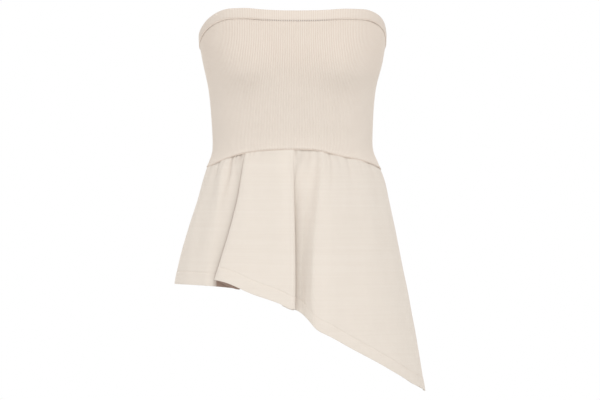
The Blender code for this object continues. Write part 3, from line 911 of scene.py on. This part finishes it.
# %% Plain knit
def plain_knit():
    """Fine V stitches in level courses, with some courses a tone darker than others. The gaps
    between stitch legs and the creases are darkened as painted shade.
    """
    yarn = Shader("plain_knit")
    wales, courses = yarn.stitch_counts()
    leg = yarn.maths("PINGPONG", wales, 0.5)
    stitch = yarn.wave(yarn.maths("MULTIPLY_ADD", leg, 1.3, courses))
    gap = yarn.wave(wales)
    stretched = yarn.add("ShaderNodeMapping")
    stretched.inputs["Scale"].default_value = (6, 6, 330)
    yarn.join(yarn.add("ShaderNodeTexCoord").outputs["Object"], stretched.inputs["Vector"])
    bands = yarn.noise(1.0, 2, stretched.outputs[0])
    mottle = yarn.noise(55, 3)
    fuzz = yarn.noise(2100, 2)
    height = yarn.maths("ADD", yarn.maths("MULTIPLY", stitch, 0.6), yarn.maths("MULTIPLY", gap, 0.5))
    height = yarn.maths("MULTIPLY_ADD", fuzz, 0.3, height)
    height = yarn.maths("MULTIPLY_ADD", bands, 0.8, height)
    light = yarn.maths("MULTIPLY_ADD", stitch, 0.16, 0.42)
    light = yarn.maths("MULTIPLY_ADD", bands, 0.55, light)
    light = yarn.maths("MULTIPLY_ADD", mottle, 0.25, yarn.maths("SUBTRACT", light, 0.2))
    open_cloth = yarn.blend(light, PEPLUM_FLECK_AND_PAINTED_SHADE, PEPLUM_OATMEAL)
    # Painted shade: creases are blended towards a dark brown.
    painted_crease_shade = yarn.add("ShaderNodeAttribute", attribute_name=PAINTED_SHADE).outputs["Fac"]
    yarn.matt_yarn(yarn.blend(painted_crease_shade, open_cloth, PAINTED_SHADE_BROWN))
    yarn.bumps(height, 0.35 * MM, 0.7)
    return yarn.material


# %% Linking thread
def linking_thread():
    """A tighter, slightly darker yarn with a twist along it. Painted shade blends it towards
    a dark brown where the links prick the cloth.
    """
    yarn = Shader("linking_thread")
    twist = yarn.noise(2600, 1)
    painted_shade_share = yarn.add("ShaderNodeAttribute", attribute_name=PAINTED_SHADE).outputs["Fac"]
    yarn.matt_yarn(yarn.blend(painted_shade_share, yarn.blend(twist, THREAD, OATMEAL), PAINTED_SHADE_BROWN))
    yarn.bumps(twist, 0.1 * MM, 0.5)
    return yarn.material


RIB, PLAIN, LINKS = rib_knit(), plain_knit(), linking_thread()

# %% [markdown]
# ## Joining the looks to the model
#
# Every piece rides on the one body of the top, and each panel stands for its plain solid.


def dress(piece, node, finish):
    """Gives a panel its finish and puts it in its node's place."""
    piece.data.materials.append(finish)
    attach(piece, "root")
    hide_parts(node)


for half in HALVES:
    for row in (links[half], waist_rows[half], hem_rows[half]):
        row.data.materials.append(LINKS)
        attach(row, "root")
    dress(bodices[half], f"bodice_{half}", RIB)
    dress(bands[half], f"top_band_{half}", RIB)
    dress(skirts[half], f"peplum_{half}", PLAIN)

# %% [markdown]
# ## Studio
#
# The top hangs in the air as if worn, in front of plain white. One large soft light stands
# to the upper right of the camera, a weaker one fills from the left, one lights the back,
# and the white room does the rest. A pale disc is the floor.

# %% Floor
FLOOR_RADIUS, FLOOR_HEIGHT = 0.58, -0.60


def floor():
    """A flat ring of points round a centre, as one disc."""
    turn = np.linspace(0, 2 * np.pi, 96, endpoint=False)
    rim = np.stack([np.cos(turn), np.sin(turn), 0 * turn], axis=1) * FLOOR_RADIUS
    rim[:, 2] = FLOOR_HEIGHT
    mesh = bpy.data.meshes.new("floor")
    mesh.from_pydata(rim.tolist(), [], [list(range(96))])
    disc = bpy.data.objects.new("floor", mesh)
    bpy.context.scene.collection.objects.link(disc)
    pale = Shader("pale_floor")
    colour = pale.blend(pale.noise(3), (0.86, 0.86, 0.86, 1), (0.9, 0.9, 0.9, 1))
    pale.feed(pale.surface.inputs["Base Color"], colour)
    pale.surface.inputs["Roughness"].default_value = 0.9
    disc.data.materials.append(pale.material)


floor()

# %% Camera
IMAGE_WIDTH_AT_TOP, CAMERA_DISTANCE = 0.9, 12.0
VIEW_CENTRE = (11.25 * MM, -246 * MM)
SENSOR = 36.0
camera_data = bpy.data.cameras.new("camera")
camera_data.sensor_width = SENSOR
camera_data.lens = SENSOR * CAMERA_DISTANCE / IMAGE_WIDTH_AT_TOP
camera = bpy.data.objects.new("camera", camera_data)
camera.location = (VIEW_CENTRE[0], -CAMERA_DISTANCE, VIEW_CENTRE[1])
camera.rotation_euler = (np.pi / 2, 0, 0)
bpy.context.scene.collection.objects.link(camera)
bpy.context.scene.camera = camera
print("lens:", round(camera_data.lens, 1), "mm")


# %% Lights
def soft_light(name, place, size, power):
    """A square area light that faces the middle of the top."""
    data = bpy.data.lights.new(name, "AREA")
    data.size = size
    data.energy = power
    light = bpy.data.objects.new(name, data)
    light.location = place
    aim = np.array([0.0, 0.0, -0.22]) - np.array(place)
    turn = np.arctan2(aim[0], -aim[1])
    tilt = np.arctan2(np.hypot(aim[0], aim[1]), -aim[2])
    light.rotation_euler = (tilt, 0, turn + np.pi)
    bpy.context.scene.collection.objects.link(light)


soft_light("key", (1.2, -2.3, 1.9), 1.5, 28)
soft_light("fill", (-1.4, -2.5, 0.2), 1.8, 13)
soft_light("back", (-0.8, 2.4, 1.0), 1.8, 22)

# %% White room
ROOM_LIGHT = 0.80
world = bpy.data.worlds.new("white_room")
world.use_nodes = True
room = world.node_tree.nodes
seen, cast, pick, ray = (
    room["Background"],
    room.new("ShaderNodeBackground"),
    room.new("ShaderNodeMixShader"),
    room.new("ShaderNodeLightPath"),
)
seen.inputs["Color"].default_value = (1, 1, 1, 1)
cast.inputs["Color"].default_value = (1, 0.985, 0.965, 1)
cast.inputs["Strength"].default_value = ROOM_LIGHT
for start, end in (
    (ray.outputs["Is Camera Ray"], pick.inputs[0]),
    (cast.outputs[0], pick.inputs[1]),
    (seen.outputs[0], pick.inputs[2]),
    (pick.outputs[0], room["World Output"].inputs["Surface"]),
):
    world.node_tree.links.new(start, end)
bpy.context.scene.world = world
bpy.context.scene.view_settings.view_transform = "Standard"
